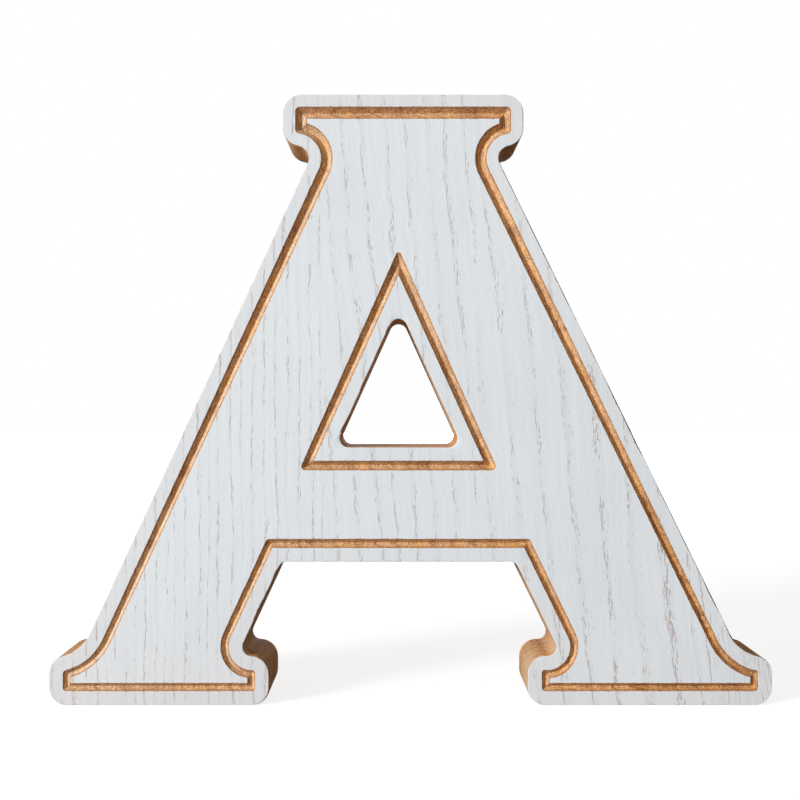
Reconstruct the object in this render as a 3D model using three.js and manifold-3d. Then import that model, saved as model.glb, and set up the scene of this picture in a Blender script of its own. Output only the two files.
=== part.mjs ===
// A free-standing wooden letter: a slab-serif capital A cut from a panel of solid wood.
// The panel is a row of upright staves glued edge to edge. Its face is painted, and a V-groove cut through the paint
// follows the outline a constant border inside the edge, with a second groove round the counter.
// Millimetres, +Z up, painted face towards -Y, standing on Z = 0 with the origin midway between the foot ends.

import * as THREE from 'three';
import { mergeVertices } from 'three/addons/utils/BufferGeometryUtils.js';
import Module from 'manifold-3d';

const wasm = await Module();
wasm.setup();

// The panel
const THICKNESS = 30;
const STAVE_WIDTH = 50;
const PAINT_FILM = 0.3;
const PAINT_SETBACK = 0.4;     // the paint is rubbed back this far from the sharp edges

// The letter, drawn on the middle line of its groove
const CAP_HEIGHT = 188;
const FOOT_SPAN = 225;         // between the outer ends of the two feet
const LEFT_FOOT = 60.4;        // length of each serif
const RIGHT_FOOT = 68.2;
const TOP_SERIF = 66.8;
const TOP_SHIFT = -2.4;        // middle of the top, from the middle of the feet
const CAP_SPAN = 34;           // between the legs' outer lines, on the cap line
const FOOT_OVERHANG = 6;       // of a foot beyond its leg's outer line, on the baseline
const LEFT_LEG = 38.6;         // width of each leg, measured level
const RIGHT_LEG = 45.4;
const TOP_SERIF_END = 5;       // height of a serif's square end
const FOOT_SERIF_END = 4.2;
const TOP_BRACKET = 10.1;      // radius of the curve from a serif into its leg
const INNER_BRACKET = 9;
const OUTER_BRACKET = 20;
const BAR_RISE = 47;           // underside of the crossbar, above the baseline
const BAR_DEPTH = 25.5;
const COUNTER_WIDTH = 60.3;
const COUNTER_HEIGHT = 66.7;
const COUNTER_SHIFT = -3.9;    // middle of the counter, from the middle of the feet

// The edge and the groove
const BORDER = 6;              // from the middle of the groove to the edge of the wood
const INSIDE_CORNER = 3;       // radius that the cutter leaves in the arch and the counter
const GROOVE_TOP_WIDTH = 3.8;  // the groove runs shallower, so narrower, towards the feet
const GROOVE_FOOT_WIDTH = 2.5;
const GROOVE_ANGLE = 80;       // between the groove's walls, in degrees
const GROOVE_TIP = 0.3;        // flat at the bottom of the groove

// Fineness: degrees for each facet of a round stretch, and the distance at which two points are one
const ARC_STEP = 7.5;
const SAME_POINT = 1e-5;

// Least radius of an inside curve, and least radius of a bracket as a share of its serif's overhang
const LEAST_RADIUS = 0.2;
const LEAST_BRACKET = 0.6;

const BASE_LINE = BORDER;
const CAP_LINE = BASE_LINE + CAP_HEIGHT;
const HEIGHT = CAP_LINE + BORDER;
const HALF_WIDTH = FOOT_SPAN / 2 + BORDER;
const FACE = -THICKNESS / 2;
const CLEAR = 1;               // how far a cutting block stands beyond what it cuts
const LIFT = 0.4;              // how far the groove's cutter stands above the face

const point = (x, z) => new THREE.Vector2(x, z);

/** A corner of an outline: its place, and the radius that rounds it, 0 where the line turns sharply. */
const corner = (at, radius = 0) => ({ at, radius });

/** A leg's edge, as the line from its place on the baseline to its place on the cap line. */
function legLine(onBase, onCap) {
  const base = point(onBase, BASE_LINE);
  const up = point(onCap, CAP_LINE).sub(base).normalize();
  const at = (z) => point(base.x + (up.x / up.y) * (z - base.y), z);
  return { base, up, at };
}

/**
 * The corner where the curve from a serif's tip runs into its leg. The curve is one arc that starts at the tip and ends
 * as a tangent of the leg, so the corner is where the arc's two end tangents meet.
 */
function bracket(tip, leg, sense, radius) {
  const along = leg.up.clone().multiplyScalar(sense);
  const reach = tip.clone().sub(leg.base).dot(along);
  const foot = leg.base.clone().addScaledVector(along, reach);
  const overhang = tip.distanceTo(foot);
  const fitted = Math.max(radius, LEAST_BRACKET * overhang);
  const run = Math.sqrt(2 * fitted * overhang - overhang ** 2);
  const shift = (run ** 2 - overhang ** 2) / (2 * run);
  return corner(foot.addScaledVector(along, shift), fitted);
}

/** The letter's outer line, counter-clockwise from the left end of the left foot. */
function letterCorners() {
  const footEnd = FOOT_SPAN / 2;
  const capEnd = CAP_SPAN / 2;
  const leftOuter = legLine(-footEnd + FOOT_OVERHANG, TOP_SHIFT - capEnd);
  const rightOuter = legLine(footEnd - FOOT_OVERHANG, TOP_SHIFT + capEnd);
  const leftInner = legLine(leftOuter.at(BASE_LINE).x + LEFT_LEG, leftOuter.at(CAP_LINE).x + LEFT_LEG);
  const rightInner = legLine(rightOuter.at(BASE_LINE).x - RIGHT_LEG, rightOuter.at(CAP_LINE).x - RIGHT_LEG);

  const footTip = BASE_LINE + FOOT_SERIF_END;
  const topTip = CAP_LINE - TOP_SERIF_END;
  const barLine = BASE_LINE + BAR_RISE;
  const leftFootInner = -footEnd + LEFT_FOOT;
  const rightFootInner = footEnd - RIGHT_FOOT;
  const topLeft = TOP_SHIFT - TOP_SERIF / 2;
  const topRight = TOP_SHIFT + TOP_SERIF / 2;

  return [
    corner(point(-footEnd, BASE_LINE)),
    corner(point(leftFootInner, BASE_LINE)),
    corner(point(leftFootInner, footTip)),
    bracket(point(leftFootInner, footTip), leftInner, 1, INNER_BRACKET),
    corner(leftInner.at(barLine)),
    corner(rightInner.at(barLine)),
    bracket(point(rightFootInner, footTip), rightInner, 1, INNER_BRACKET),
    corner(point(rightFootInner, footTip)),
    corner(point(rightFootInner, BASE_LINE)),
    corner(point(footEnd, BASE_LINE)),
    corner(point(footEnd, footTip)),
    bracket(point(footEnd, footTip), rightOuter, 1, OUTER_BRACKET),
    bracket(point(topRight, topTip), rightOuter, -1, TOP_BRACKET),
    corner(point(topRight, topTip)),
    corner(point(topRight, CAP_LINE)),
    corner(point(topLeft, CAP_LINE)),
    corner(point(topLeft, topTip)),
    bracket(point(topLeft, topTip), leftOuter, -1, TOP_BRACKET),
    bracket(point(-footEnd, footTip), leftOuter, 1, OUTER_BRACKET),
    corner(point(-footEnd, footTip)),
  ];
}

/** The counter's triangle, standing on the crossbar. */
function counterCorners() {
  const base = BASE_LINE + BAR_RISE + BAR_DEPTH;
  return [
    corner(point(COUNTER_SHIFT - COUNTER_WIDTH / 2, base)),
    corner(point(COUNTER_SHIFT + COUNTER_WIDTH / 2, base)),
    corner(point(COUNTER_SHIFT, base + COUNTER_HEIGHT)),
  ];
}

/** A corner's neighbours in a closed list. */
const before = (list, i) => list[(i + list.length - 1) % list.length];
const after = (list, i) => list[(i + 1) % list.length];

/** The unit normal to the right of the way from a to b, which points out of a counter-clockwise outline. */
function outward(a, b) {
  const way = b.clone().sub(a).normalize();
  return point(way.y, -way.x);
}

/**
 * A parallel outline, with every side moved outward by a distance. Rounded corners keep their centres, outer sharp
 * corners become round about the old corner, and inner sharp corners keep the cutter's radius.
 */
function parallel(corners, distance) {
  return corners.map(({ at, radius }, i) => {
    const a = outward(before(corners, i).at, at);
    const b = outward(at, after(corners, i).at);
    const outer = a.cross(b) * distance > 0;
    const moved = a.clone().add(b).multiplyScalar(distance / (1 + a.dot(b)));
    let round = Math.max(radius - Math.abs(distance), LEAST_RADIUS);
    if (radius === 0) round = INSIDE_CORNER;
    if (outer) round = radius + Math.abs(distance);
    return corner(at.clone().add(moved), round);
  });
}

/** The points round an outline, each marked if the line turns sharply there. */
function trace(corners) {
  const stops = [];
  const stop = (at, sharp) => {
    const last = stops.at(-1);
    if (last && last.at.distanceTo(at) < SAME_POINT) last.sharp = last.sharp || sharp;
    else stops.push({ at, sharp });
  };
  corners.forEach(({ at, radius }, i) => {
    if (radius === 0) {
      stop(at, true);
      return;
    }
    const a = before(corners, i).at.clone().sub(at).normalize();
    const b = after(corners, i).at.clone().sub(at).normalize();
    const half = Math.acos(THREE.MathUtils.clamp(a.dot(b), -1, 1)) / 2;
    const centre = at.clone().addScaledVector(a.clone().add(b).normalize(), radius / Math.sin(half));
    const first = at.clone().addScaledVector(a, radius / Math.tan(half)).sub(centre);
    const turn = (Math.PI - 2 * half) * Math.sign(b.cross(a));
    const steps = Math.max(2, Math.ceil(Math.abs(turn) / THREE.MathUtils.degToRad(ARC_STEP)));
    for (let k = 0; k <= steps; k++) {
      stop(first.clone().rotateAround(point(0, 0), (turn * k) / steps).add(centre), false);
    }
  });
  if (stops[0].at.distanceTo(stops.at(-1).at) < SAME_POINT) stops.pop();
  return stops;
}

/** A closed solid from a geometry, with its shared vertices merged. */
function toSolid(geometry) {
  const bare = geometry.clone();
  bare.deleteAttribute('normal');
  bare.deleteAttribute('uv');
  const merged = mergeVertices(bare, SAME_POINT);
  const vertProperties = new Float32Array(merged.attributes.position.array);
  const triVerts = new Uint32Array(merged.index.array);
  return new wasm.Manifold(new wasm.Mesh({ numProp: 3, vertProperties, triVerts }));
}

/** An outline in the upright plane, as a slab as thick as the panel. */
function slab(corners, holeCorners) {
  const shape = new THREE.Shape(trace(corners).map((stop) => stop.at));
  shape.holes.push(new THREE.Path(trace(holeCorners).map((stop) => stop.at)));
  const geometry = new THREE.ExtrudeGeometry(shape, { depth: THICKNESS, bevelEnabled: false });
  geometry.rotateX(Math.PI / 2).translate(0, THICKNESS / 2, 0);
  return toSolid(geometry);
}

/** A closed solid through a row of rings, each a convex loop of as many points, with flat ends. */
function loft(rings) {
  const size = rings[0].length;
  const indices = [];
  for (let r = 0; r + 1 < rings.length; r++) {
    for (let k = 0; k < size; k++) {
      const here = r * size + k;
      const next = r * size + ((k + 1) % size);
      indices.push(here, next, next + size, here, next + size, here + size);
    }
  }
  const last = (rings.length - 1) * size;
  for (let k = 1; k + 1 < size; k++) {
    indices.push(0, k + 1, k, last, last + k, last + k + 1);
  }
  const geometry = new THREE.BufferGeometry().setFromPoints(rings.flat());
  const at = geometry.attributes.position;
  const [a, b, c] = [new THREE.Vector3(), new THREE.Vector3(), new THREE.Vector3()];
  let volume = 0;
  for (let i = 0; i < indices.length; i += 3) {
    a.fromBufferAttribute(at, indices[i]);
    b.fromBufferAttribute(at, indices[i + 1]);
    c.fromBufferAttribute(at, indices[i + 2]);
    volume += a.dot(b.cross(c));
  }
  geometry.setIndex(volume < 0 ? indices.reverse() : indices);
  return toSolid(geometry);
}

const WALL_SLOPE = Math.tan(THREE.MathUtils.degToRad(GROOVE_ANGLE / 2));

/** Half the groove's width at a height on the letter, level with the raised top and with the bottom of its cutter. */
function grooveHalves(z) {
  const share = (z - BASE_LINE) / CAP_HEIGHT;
  const half = THREE.MathUtils.lerp(GROOVE_FOOT_WIDTH, GROOVE_TOP_WIDTH, share) / 2;
  return {
    top: half + LIFT * WALL_SLOPE,
    tip: GROOVE_TIP / 2,
    bottom: FACE + (half - GROOVE_TIP / 2) / WALL_SLOPE,
  };
}

/** The groove along one smooth stretch: its V-section, square to the way, carried from stop to stop. */
function grooveRun(stops) {
  const rings = stops.map((at, i) => {
    const a = i > 0 ? outward(stops[i - 1], at) : outward(at, stops[i + 1]);
    const b = i + 1 < stops.length ? outward(at, stops[i + 1]) : a;
    const side = a.clone().add(b).multiplyScalar(1 / (1 + a.dot(b)));
    const { top, tip, bottom } = grooveHalves(at.y);
    const place = (across, y) => new THREE.Vector3(at.x + side.x * across, y, at.y + side.y * across);
    return [place(-top, FACE - LIFT), place(-tip, bottom), place(tip, bottom), place(top, FACE - LIFT)];
  });
  return loft(rings);
}

/** The cone that the cutter leaves where the groove turns sharply, with an edge square to the way in and the way out. */
function grooveTurn(from, at, to) {
  const start = outward(from, at).angle();
  const stretch = (outward(at, to).angle() - start + 2 * Math.PI) % (2 * Math.PI);
  const angles = [];
  for (const [first, span] of [[start, stretch], [start + stretch, 2 * Math.PI - stretch]]) {
    const steps = Math.max(2, Math.ceil(span / THREE.MathUtils.degToRad(2 * ARC_STEP)));
    for (let k = 0; k < steps; k++) angles.push(first + (span * k) / steps);
  }
  const { top, tip, bottom } = grooveHalves(at.y);
  const ring = (radius, y) => angles.map((t) => (
    new THREE.Vector3(at.x + radius * Math.cos(t), y, at.y + radius * Math.sin(t))));
  return loft([ring(top, FACE - LIFT), ring(tip, bottom)]);
}

/** The whole groove along an outline: a run for each smooth stretch and a cone at each sharp turn. */
function groove(corners) {
  const stops = trace(corners);
  const first = stops.findIndex((stop) => stop.sharp);
  const round = [...stops.slice(first), ...stops.slice(0, first + 1)];
  let cutter = null;
  const join = (solid) => { cutter = cutter ? cutter.add(solid) : solid; };
  let run = [];
  for (const { at, sharp } of round) {
    run.push(at);
    if (sharp && run.length > 1) {
      join(grooveRun(run));
      run = [at];
    }
  }
  stops.forEach(({ at, sharp }, i) => {
    if (sharp) join(grooveTurn(before(stops, i).at, at, after(stops, i).at));
  });
  return cutter;
}

/** A block between two corners. */
function block(low, high) {
  const size = high.clone().sub(low);
  const geometry = new THREE.BoxGeometry(size.x, size.y, size.z);
  geometry.translate(...low.clone().addScaledVector(size, 0.5).toArray());
  return toSolid(geometry);
}

/** The separate bodies of a solid, as geometries, the largest first. */
function bodies(solid) {
  const { vertProperties, triVerts, numProp } = solid.getMesh();
  const owner = Uint32Array.from({ length: vertProperties.length / numProp }, (_, i) => i);
  const root = (i) => {
    let top = i;
    while (owner[top] !== top) top = owner[top];
    owner[i] = top;
    return top;
  };
  for (let i = 0; i < triVerts.length; i += 3) {
    owner[root(triVerts[i + 1])] = root(triVerts[i]);
    owner[root(triVerts[i + 2])] = root(triVerts[i]);
  }
  const lists = new Map();
  for (let i = 0; i < triVerts.length; i += 3) {
    const key = root(triVerts[i]);
    if (!lists.has(key)) lists.set(key, []);
    lists.get(key).push(triVerts[i], triVerts[i + 1], triVerts[i + 2]);
  }
  const geometries = [...lists.values()].map((list) => {
    const corners = list.map((v) => new THREE.Vector3().fromArray(vertProperties, v * numProp));
    const geometry = new THREE.BufferGeometry().setFromPoints(corners);
    geometry.computeVertexNormals();
    geometry.computeBoundingBox();
    return geometry;
  });
  const spread = (geometry) => geometry.boundingBox.getSize(new THREE.Vector3()).length();
  return geometries.sort((a, b) => spread(b) - spread(a));
}

const oak = (colour) => new THREE.MeshStandardMaterial({ color: colour, roughness: 0.7, metalness: 0 });
const OAK_COLOURS = [0xb98a5c, 0xb08052, 0xbe9163];
const paint = () => new THREE.MeshStandardMaterial({ color: 0xdfe3e4, roughness: 0.6, metalness: 0 });

const letter = new THREE.Group();
letter.name = 'wooden_letter';

function addPiece(name, geometry, material) {
  const piece = new THREE.Mesh(geometry, material);
  piece.name = name;
  letter.add(piece);
}

// The letter is cut from the panel and grooved, and the paint is the thin skin of its face
const counter = counterCorners();
const outline = letterCorners();
const carved = slab(parallel(outline, BORDER), parallel(counter, -BORDER))
  .subtract(groove(outline))
  .subtract(groove(counter));
const skin = block(
  new THREE.Vector3(-HALF_WIDTH - CLEAR, FACE - CLEAR, -CLEAR),
  new THREE.Vector3(HALF_WIDTH + CLEAR, FACE + PAINT_FILM, HEIGHT + CLEAR),
);

// The two grooves part the paint into three islands
const PAINT_NAMES = ['paint_border', 'paint_field', 'paint_counter_band'];
const PAINT_EDGE = BORDER - PAINT_SETBACK;
const painted = slab(parallel(outline, PAINT_EDGE), parallel(counter, -PAINT_EDGE));
const film = carved.intersect(painted).intersect(skin);
bodies(film).forEach((island, i) => addPiece(PAINT_NAMES[i], island, paint()));

// The middle stave holds the counter, and the others follow it to the left and to the right, a stave width apart
const firstSeam = Math.ceil((-HALF_WIDTH - COUNTER_SHIFT) / STAVE_WIDTH - 0.5);
const lastSeam = Math.floor((HALF_WIDTH - COUNTER_SHIFT) / STAVE_WIDTH - 0.5);

function staveName(place) {
  if (place === 0) return 'stave_middle';
  return place < 0 ? `stave_left_${-place}` : `stave_right_${place}`;
}

function addStave(place, solid) {
  const colour = OAK_COLOURS[Math.abs(place) % OAK_COLOURS.length];
  bodies(solid).forEach((body, i) => {
    addPiece(i === 0 ? staveName(place) : `${staveName(place)}_offcut_${i}`, body, oak(colour));
  });
}

let uncut = carved.subtract(skin);
for (let place = firstSeam; place <= lastSeam; place++) {
  const seam = COUNTER_SHIFT + (place + 0.5) * STAVE_WIDTH;
  const leftOfSeam = block(
    new THREE.Vector3(-HALF_WIDTH - CLEAR, -THICKNESS, -CLEAR),
    new THREE.Vector3(seam, THICKNESS, HEIGHT + CLEAR),
  );
  addStave(place, uncut.intersect(leftOfSeam));
  uncut = uncut.subtract(leftOfSeam);
}
addStave(lastSeam + 1, uncut);

export default letter;
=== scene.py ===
"""The looks of a free-standing wooden letter, a slab-serif capital A.

It is routed from a panel of glued staves, and its face is painted. Everything is in metres, in the frame of
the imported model: +Z up, the painted face towards -Y.
"""

import bmesh
import bpy
import numpy as np
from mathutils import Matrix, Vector
from mathutils.geometry import delaunay_2d_cdt


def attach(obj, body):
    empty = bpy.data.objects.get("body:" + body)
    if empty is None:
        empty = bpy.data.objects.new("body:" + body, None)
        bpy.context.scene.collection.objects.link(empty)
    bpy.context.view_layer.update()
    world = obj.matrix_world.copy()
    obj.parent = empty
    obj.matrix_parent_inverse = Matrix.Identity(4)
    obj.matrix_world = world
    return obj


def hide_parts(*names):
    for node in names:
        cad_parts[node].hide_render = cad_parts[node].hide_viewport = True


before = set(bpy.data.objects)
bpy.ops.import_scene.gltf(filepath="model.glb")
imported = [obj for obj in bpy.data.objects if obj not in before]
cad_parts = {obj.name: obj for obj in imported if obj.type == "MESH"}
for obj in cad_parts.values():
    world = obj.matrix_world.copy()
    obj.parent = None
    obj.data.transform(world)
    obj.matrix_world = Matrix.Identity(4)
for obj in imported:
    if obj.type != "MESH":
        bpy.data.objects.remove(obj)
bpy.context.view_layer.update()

MM = 0.001

# The panel
THICKNESS = 30 * MM
STAVE_WIDTH = 50 * MM
PAINT_FILM = 0.3 * MM
ARRIS = 0.5 * MM               # radius of the eased edges

# The letter, drawn on the middle line of its groove
CAP_HEIGHT = 188 * MM
FOOT_SPAN = 225 * MM
LEFT_FOOT = 60.4 * MM
RIGHT_FOOT = 68.2 * MM
TOP_SERIF = 66.8 * MM
TOP_SHIFT = -2.4 * MM
CAP_SPAN = 34 * MM
FOOT_OVERHANG = 6 * MM
LEFT_LEG = 38.6 * MM
RIGHT_LEG = 45.4 * MM
TOP_SERIF_END = 5 * MM
FOOT_SERIF_END = 4.2 * MM
TOP_BRACKET = 10.1 * MM
INNER_BRACKET = 9 * MM
OUTER_BRACKET = 20 * MM
BAR_RISE = 47 * MM
BAR_DEPTH = 25.5 * MM
COUNTER_WIDTH = 60.3 * MM
COUNTER_HEIGHT = 66.7 * MM
COUNTER_SHIFT = -3.9 * MM

# The edge and the groove
BORDER = 6 * MM
INSIDE_CORNER = 3 * MM         # radius that the cutter leaves in the arch and the counter
PAINT_CORNER = 0.2 * MM        # radius of an inner corner beside the groove
GROOVE_CORNER = 0.8            # radius of the groove's outer corners, as a share of its half width
GROOVE_POINT = 0.45            # and of a corner that turns further than the next angle
POINTED_TURN = np.radians(125)
GROOVE_TOP_WIDTH = 3.8 * MM
GROOVE_FOOT_WIDTH = 2.5 * MM
GROOVE_TIP = 0.3 * MM
WALL_SLOPE = np.tan(np.radians(40))

# Fineness: distance between stations on the line, and stations round a sharp corner
STATION = 0.5 * MM
FAN = 9
CALM = 4                       # stations over which an uneven edge comes back to a sharp corner
WANDER = 0.6                   # spread of an uneven edge, as a share of its reach
TOUCH = 1e-6                   # distance at which two points are one

BASE_LINE = BORDER
CAP_LINE = BASE_LINE + CAP_HEIGHT
FACE = -THICKNESS / 2
BACK = THICKNESS / 2
WOOD_FACE = FACE + PAINT_FILM


def unit(v):
    """Each vector over its own length."""
    return v / np.linalg.norm(v, axis=-1, keepdims=True)


def outward(way):
    """The normal to the right of each direction, which points out of a counter-clockwise outline."""
    return np.stack([way[..., 1], -way[..., 0]], axis=-1)


def turned(direction, angles):
    """A direction turned in the plane by each of the angles."""
    c, s = np.cos(angles), np.sin(angles)
    return np.stack([c * direction[0] - s * direction[1], s * direction[0] + c * direction[1]], axis=-1)


def level(distance):
    """A distance that is the same at every height."""
    return lambda z: np.zeros_like(z) + distance


def half_groove(z):
    """Half the groove's width on the face: it grows in step with the height, up to the cap line."""
    share = (z - BASE_LINE) / CAP_HEIGHT
    return (GROOVE_FOOT_WIDTH + (GROOVE_TOP_WIDTH - GROOVE_FOOT_WIDTH) * share) / 2


def groove_bottom(z):
    """Depth of the groove's flat tip: the half width, less the tip's own, over the slope of the wall."""
    return FACE + (half_groove(z) - GROOVE_TIP / 2) / WALL_SLOPE


def leg_line(on_base, on_cap):
    """A leg's edge: its place on the baseline and its direction up to the cap line."""
    base = np.array([on_base, BASE_LINE])
    return base, unit(np.array([on_cap, CAP_LINE]) - base)


def bracket(tip, leg, sense, radius):
    """The corner of the arc that starts at a serif's tip and ends as a tangent of the leg.

    With the tip a distance h from the leg, the arc reaches along it by the root of 2 r h - h h, and the two
    end tangents meet at half the difference between that reach and h h over it.
    """
    base, up = leg
    along = up * sense
    foot = base + along * np.dot(tip - base, along)
    overhang = np.linalg.norm(tip - foot)
    reach = np.sqrt(2 * radius * overhang - overhang ** 2)
    return foot + along * (reach ** 2 - overhang ** 2) / (2 * reach), radius


def letter_corners():
    """The letter's outer line, counter-clockwise from the left foot's outer end, as places and radii."""
    end = FOOT_SPAN / 2
    cap_end = CAP_SPAN / 2
    left_outer = leg_line(-end + FOOT_OVERHANG, TOP_SHIFT - cap_end)
    right_outer = leg_line(end - FOOT_OVERHANG, TOP_SHIFT + cap_end)
    left_inner = left_outer[0] + [LEFT_LEG, 0], left_outer[1]
    right_inner = right_outer[0] - [RIGHT_LEG, 0], right_outer[1]
    foot_tip = BASE_LINE + FOOT_SERIF_END
    top_tip = CAP_LINE - TOP_SERIF_END
    top_left = TOP_SHIFT - TOP_SERIF / 2
    top_right = TOP_SHIFT + TOP_SERIF / 2
    left_tip = np.array([-end + LEFT_FOOT, foot_tip])
    right_tip = np.array([end - RIGHT_FOOT, foot_tip])

    def on_bar(leg):
        base, up = leg
        return base + up * BAR_RISE / up[1]

    return [
        ((-end, BASE_LINE), 0),
        ((left_tip[0], BASE_LINE), 0),
        (left_tip, 0),
        bracket(left_tip, left_inner, 1, INNER_BRACKET),
        (on_bar(left_inner), 0),
        (on_bar(right_inner), 0),
        bracket(right_tip, right_inner, 1, INNER_BRACKET),
        (right_tip, 0),
        ((right_tip[0], BASE_LINE), 0),
        ((end, BASE_LINE), 0),
        ((end, foot_tip), 0),
        bracket(np.array([end, foot_tip]), right_outer, 1, OUTER_BRACKET),
        bracket(np.array([top_right, top_tip]), right_outer, -1, TOP_BRACKET),
        ((top_right, top_tip), 0),
        ((top_right, CAP_LINE), 0),
        ((top_left, CAP_LINE), 0),
        ((top_left, top_tip), 0),
        bracket(np.array([top_left, top_tip]), left_outer, -1, TOP_BRACKET),
        bracket(np.array([-end, foot_tip]), left_outer, 1, OUTER_BRACKET),
        ((-end, foot_tip), 0),
    ]


def counter_corners():
    """The counter's triangle, standing on the crossbar, counter-clockwise."""
    base = BASE_LINE + BAR_RISE + BAR_DEPTH
    return [
        ((COUNTER_SHIFT - COUNTER_WIDTH / 2, base), 0),
        ((COUNTER_SHIFT + COUNTER_WIDTH / 2, base), 0),
        ((COUNTER_SHIFT, base + COUNTER_HEIGHT), 0),
    ]


class Outline:
    """A closed line of straight runs, sharp corners and round brackets, with parallels at any distance.

    Each parallel has the same stations as the line itself, so that rings at several distances join into a
    surface.
    """

    def __init__(self, corners):
        self.at = np.array([place for place, _ in corners], float)
        self.radius = np.array([radius for _, radius in corners], float)
        after = np.roll(self.at, -1, axis=0)
        way_out = unit(after - self.at)
        way_in = np.roll(way_out, 1, axis=0)
        self.normal_in = outward(way_in)
        self.normal_out = outward(way_out)
        cross = way_in[:, 0] * way_out[:, 1] - way_in[:, 1] * way_out[:, 0]
        self.turn = np.arctan2(cross, (way_in * way_out).sum(axis=1))
        tangent = self.radius * np.tan(np.abs(self.turn) / 2)
        self.centre = self.at - way_in * tangent[:, None] + self.normal_in * self.radius[:, None]
        straight = np.linalg.norm(after - self.at, axis=1) - tangent - np.roll(tangent, -1)
        self.touching = straight < TOUCH
        self.between = np.maximum(np.round(straight / STATION).astype(int) - 1, 0)
        self.count = np.maximum(np.round(self.radius * np.abs(self.turn) / STATION).astype(int), FAN)
        self.line = self.parallel(level(0.0))
        self.height = self.line[:, 1]
        step = np.linalg.norm(np.roll(self.line, -1, axis=0) - self.line, axis=1)
        self.run = np.cumsum(step) - step
        self.length = step.sum()

    def trim(self, i, tip, across):
        """The angle that a sharp tip takes off an arc's inner side, up to where the parallels meet."""
        distance = min(float(across(self.at[tip, 1])), 0.0)
        r, turn = self.radius[i], self.turn[tip]
        return turn - np.arccos((r * np.cos(turn) - distance) / (r - distance))

    def arc(self, i, across):
        """A bracket's stations: its centre, less the normal times what is left of the radius there."""
        n = len(self.at)
        first, last = 0.0, self.turn[i]
        if self.touching[i - 1]:
            first -= self.trim(i, i - 1, across)
        if self.touching[i]:
            last += self.trim(i, (i + 1) % n, across)
        normals = turned(self.normal_in[i], np.linspace(first, last, self.count[i]))
        height = (self.centre[i] - normals * self.radius[i])[:, 1]
        return self.centre[i] - normals * (self.radius[i] - across(height))[:, None]

    def sharp(self, i, across):
        """A sharp corner's stations: an eased mitre, or on the inner side the point where it meets a bracket.

        A mitre d away, eased by a radius e, lies at the corner plus the mitre times d + e, less the normal
        times e. On the outer side the radius grows from a share of the distance, beside the groove, to all of
        it on the edge.
        """
        at, turn = self.at[i], self.turn[i]
        distance = float(across(at[1]))
        normals = turned(self.normal_in[i], np.linspace(0, turn, FAN))
        share = abs(distance) / BORDER
        side = self.normal_in[i] + self.normal_out[i]
        mitre = side / (1 + np.dot(self.normal_in[i], self.normal_out[i]))
        if turn * distance >= 0:
            least = GROOVE_POINT if abs(turn) > POINTED_TURN else GROOVE_CORNER
            ease = -distance * (least + (1 - least) * share ** 2)
            return at + mitre * (distance + ease) - normals * ease
        if self.touching[i]:
            return np.repeat(self.arc((i + 1) % len(self.at), across)[:1], FAN, axis=0)
        if self.touching[i - 1]:
            return np.repeat(self.arc(i - 1, across)[-1:], FAN, axis=0)
        ease = np.sign(distance) * (PAINT_CORNER + (INSIDE_CORNER - PAINT_CORNER) * share ** 3)
        return at + mitre * (distance + ease) - normals * ease

    def parallel(self, across):
        """The ring of stations at a distance outward, which across gives for each height on the line."""
        bends = [
            self.arc(i, across) if self.radius[i] > 0 else self.sharp(i, across)
            for i in range(len(self.at))
        ]
        parts = []
        for i, bend in enumerate(bends):
            after = bends[(i + 1) % len(bends)]
            share = (np.arange(self.between[i]) + 1)[:, None] / (self.between[i] + 1)
            parts += [bend, bend[-1] * (1 - share) + after[0] * share]
        return np.concatenate(parts)

    def normals(self, sense):
        """The outward normal at each station, for rings outward of the line (sense 1) or inward (-1).

        It dwindles to nothing at a sharp corner's inner side, so that the corner stays where it is.
        """
        calm = (self.radius == 0) & (self.turn * sense < 0)
        calm_next = np.roll(calm, -1)
        parts = []
        for i in range(len(self.at)):
            ends = np.arange(self.count[i])
            fade = np.ones(self.count[i]) * ~calm[i]
            if self.touching[i - 1] and calm[i - 1]:
                fade = np.minimum(fade, ends / CALM)
            if self.touching[i] and calm_next[i]:
                fade = np.minimum(fade, ends[::-1] / CALM)
            angles = np.linspace(0, self.turn[i], self.count[i])
            parts.append(turned(self.normal_in[i], angles) * fade[:, None])
            steps = np.arange(self.between[i]) + 1
            fade = np.ones(self.between[i])
            if calm[i]:
                fade = np.minimum(fade, steps / CALM)
            if calm_next[i]:
                fade = np.minimum(fade, steps[::-1] / CALM)
            parts.append(self.normal_out[i] * fade[:, None])
        return np.concatenate(parts)

    def wander(self, seed, longest, shortest):
        """A random line along the outline, from -1 to 1 or so: sines of whole turns with random strengths."""
        draw = np.random.default_rng(seed)
        turns = np.arange(int(self.length / longest), int(self.length / shortest))
        phase = draw.uniform(0, 2 * np.pi, len(turns))
        strength = draw.normal(0, 1, len(turns)) / np.sqrt(len(turns) / 2) * WANDER
        return np.sin(2 * np.pi * turns * self.run[:, None] / self.length + phase) @ strength


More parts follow.
